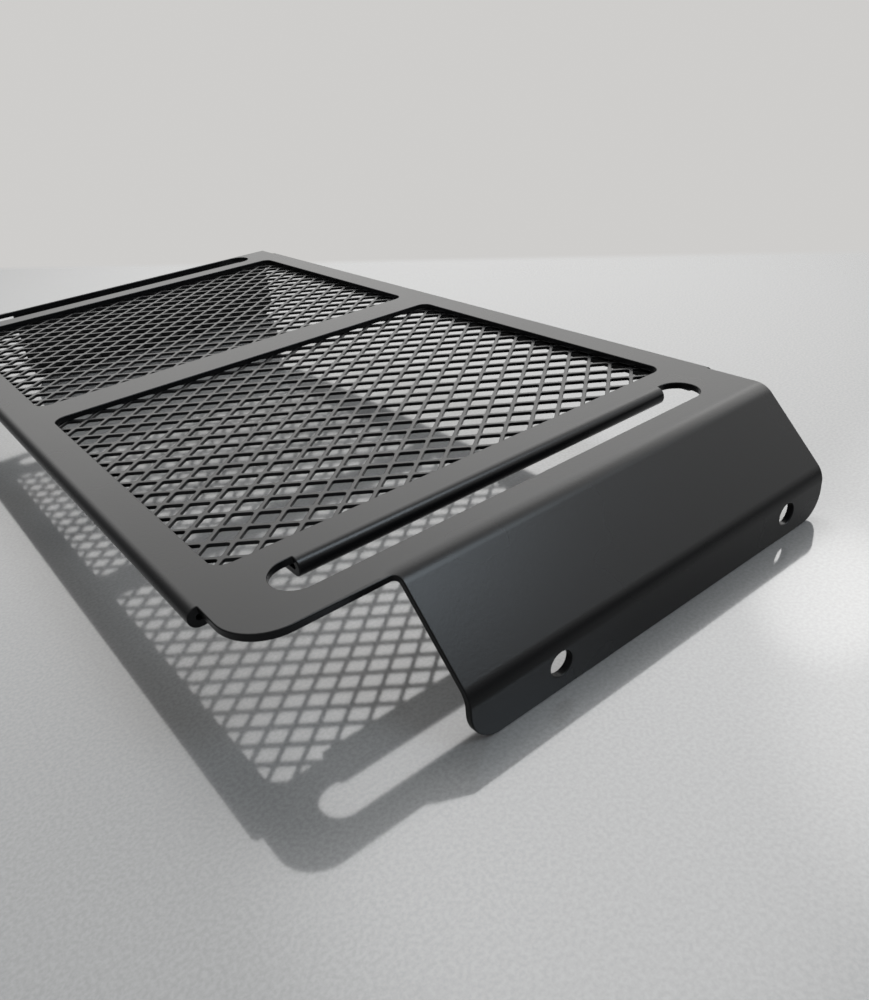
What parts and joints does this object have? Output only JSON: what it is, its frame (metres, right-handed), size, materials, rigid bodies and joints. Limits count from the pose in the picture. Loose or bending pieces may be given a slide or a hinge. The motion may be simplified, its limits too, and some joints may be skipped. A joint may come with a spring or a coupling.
{
  "type": "motorcycle radiator guard",
  "caption": "Folded black sheet frame with two windows over a clamped diamond mesh, hemmed sides and slots, and a cranked flange with screw holes.",
  "frame": {"origin": "middle of the guard's outline in plan, at the height of the lower edges of both flanges", "axes": "+X across the guard towards the side that both flanges reach, +Y along the guard away from the flange with the screw holes, +Z out of the face, away from the radiator"},
  "size_m": [0.1728, 0.3276, 0.035],
  "materials": {
    "frame_sheet": "satin black powder coat",
    "mesh_panel": "satin black powder coat"
  },
  "bodies": {
    "root": {"frame_sheet": "frame_sheet", "mesh_panel": "mesh_panel"}
  },
  "joints": []
}
